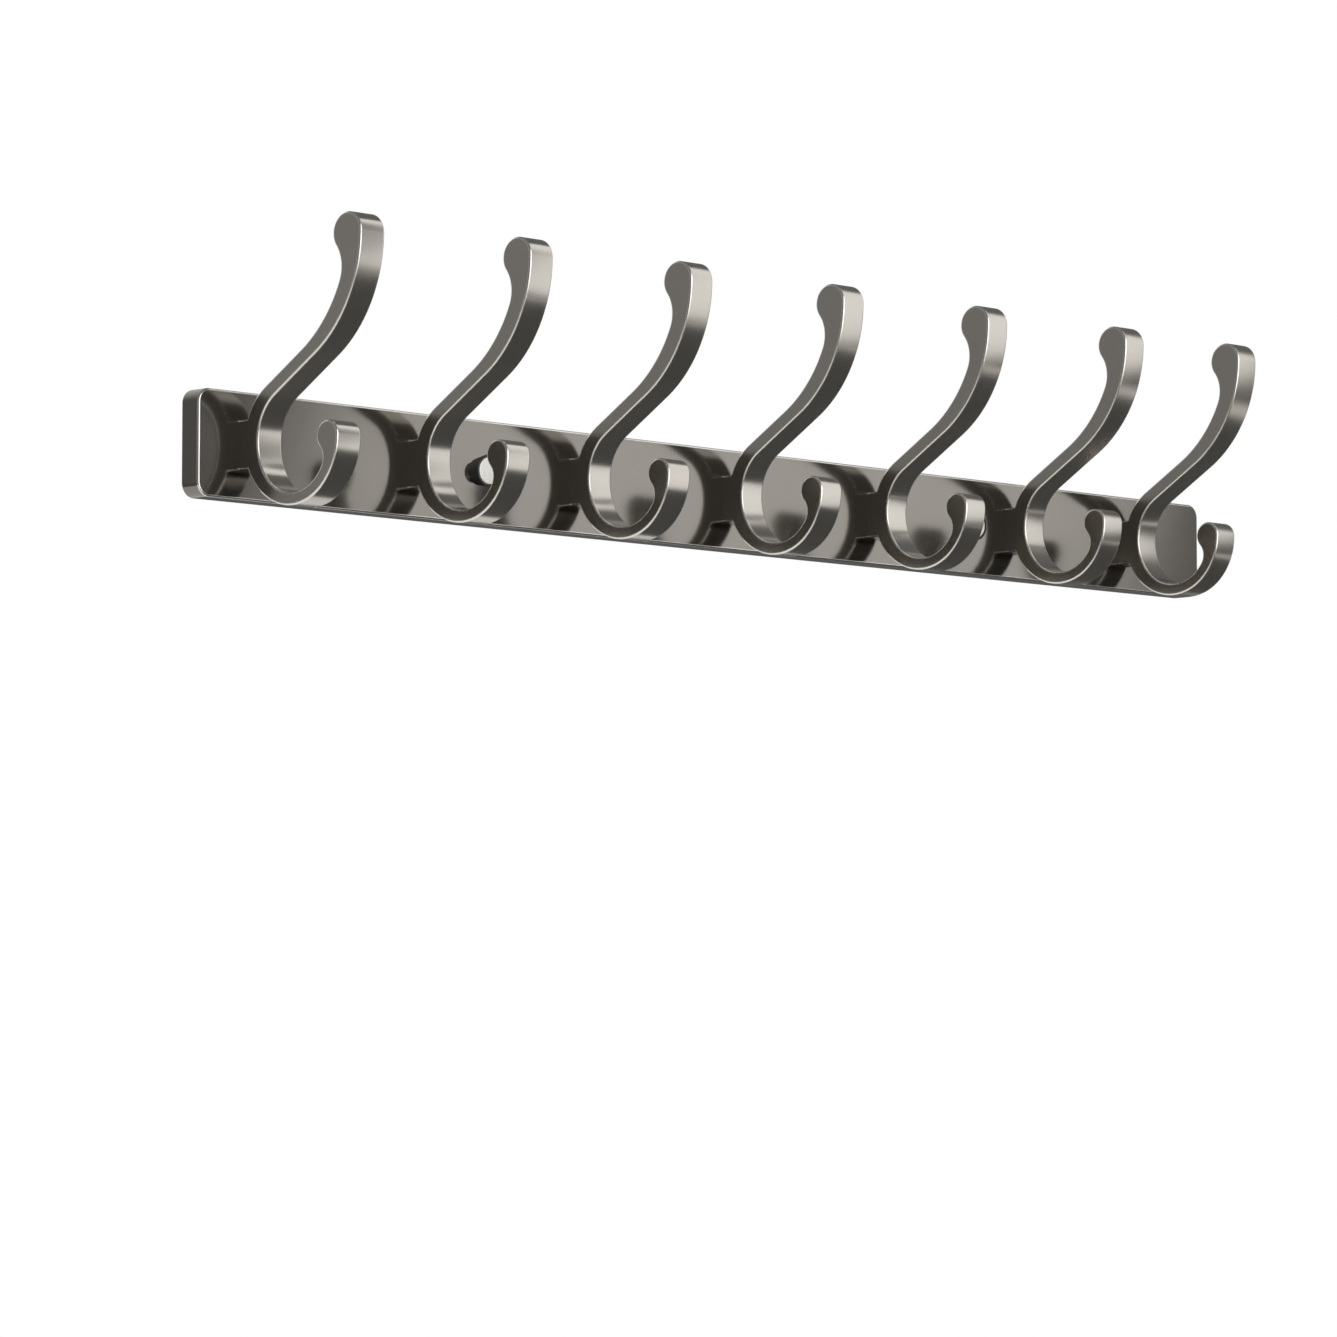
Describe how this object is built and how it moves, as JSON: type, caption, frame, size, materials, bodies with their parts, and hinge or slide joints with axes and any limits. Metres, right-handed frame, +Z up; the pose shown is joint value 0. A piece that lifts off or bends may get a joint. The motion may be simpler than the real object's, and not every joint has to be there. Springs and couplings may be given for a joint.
{
  "type": "door hook rack",
  "caption": "Flat metal hook rail for a wall or a door, with a row of tall S-shaped double hooks that have rounded tips, held by hidden screws.",
  "frame": {"origin": "On the back face of the rail, which lies on the wall or the door, half-way between the two wall screws and at half the rail's height.", "axes": "+X to the right along the rail as seen from the front, +Z up, +Y into the wall; the front and the hooks face -Y."},
  "size_m": [0.57, 0.1114, 0.1045],
  "materials": {
    "rail_metal": "satin anodised, pearl grey",
    "hook_metal": "satin anodised, pearl grey",
    "screw_steel": "zinc plated",
    "cup_plastic": "black, moulded",
    "cap_metal": "satin silver"
  },
  "bodies": {
    "root": {"rail": "rail_metal", "hook_1": "hook_metal", "hook_2": "hook_metal", "hook_3": "hook_metal", "hook_4": "hook_metal", "hook_5": "hook_metal", "hook_6": "hook_metal", "hook_7": "hook_metal", "hook_screw_1": "screw_steel", "hook_screw_2": "screw_steel", "hook_screw_3": "screw_steel", "hook_screw_4": "screw_steel", "hook_screw_5": "screw_steel", "hook_screw_6": "screw_steel", "hook_screw_7": "screw_steel", "wall_screw_left": "screw_steel", "wall_screw_right": "screw_steel", "screw_cup_left": "cup_plastic", "screw_cup_right": "cup_plastic", "screw_cap_left": "cap_metal", "screw_cap_right": "cap_metal"}
  },
  "joints": []
}
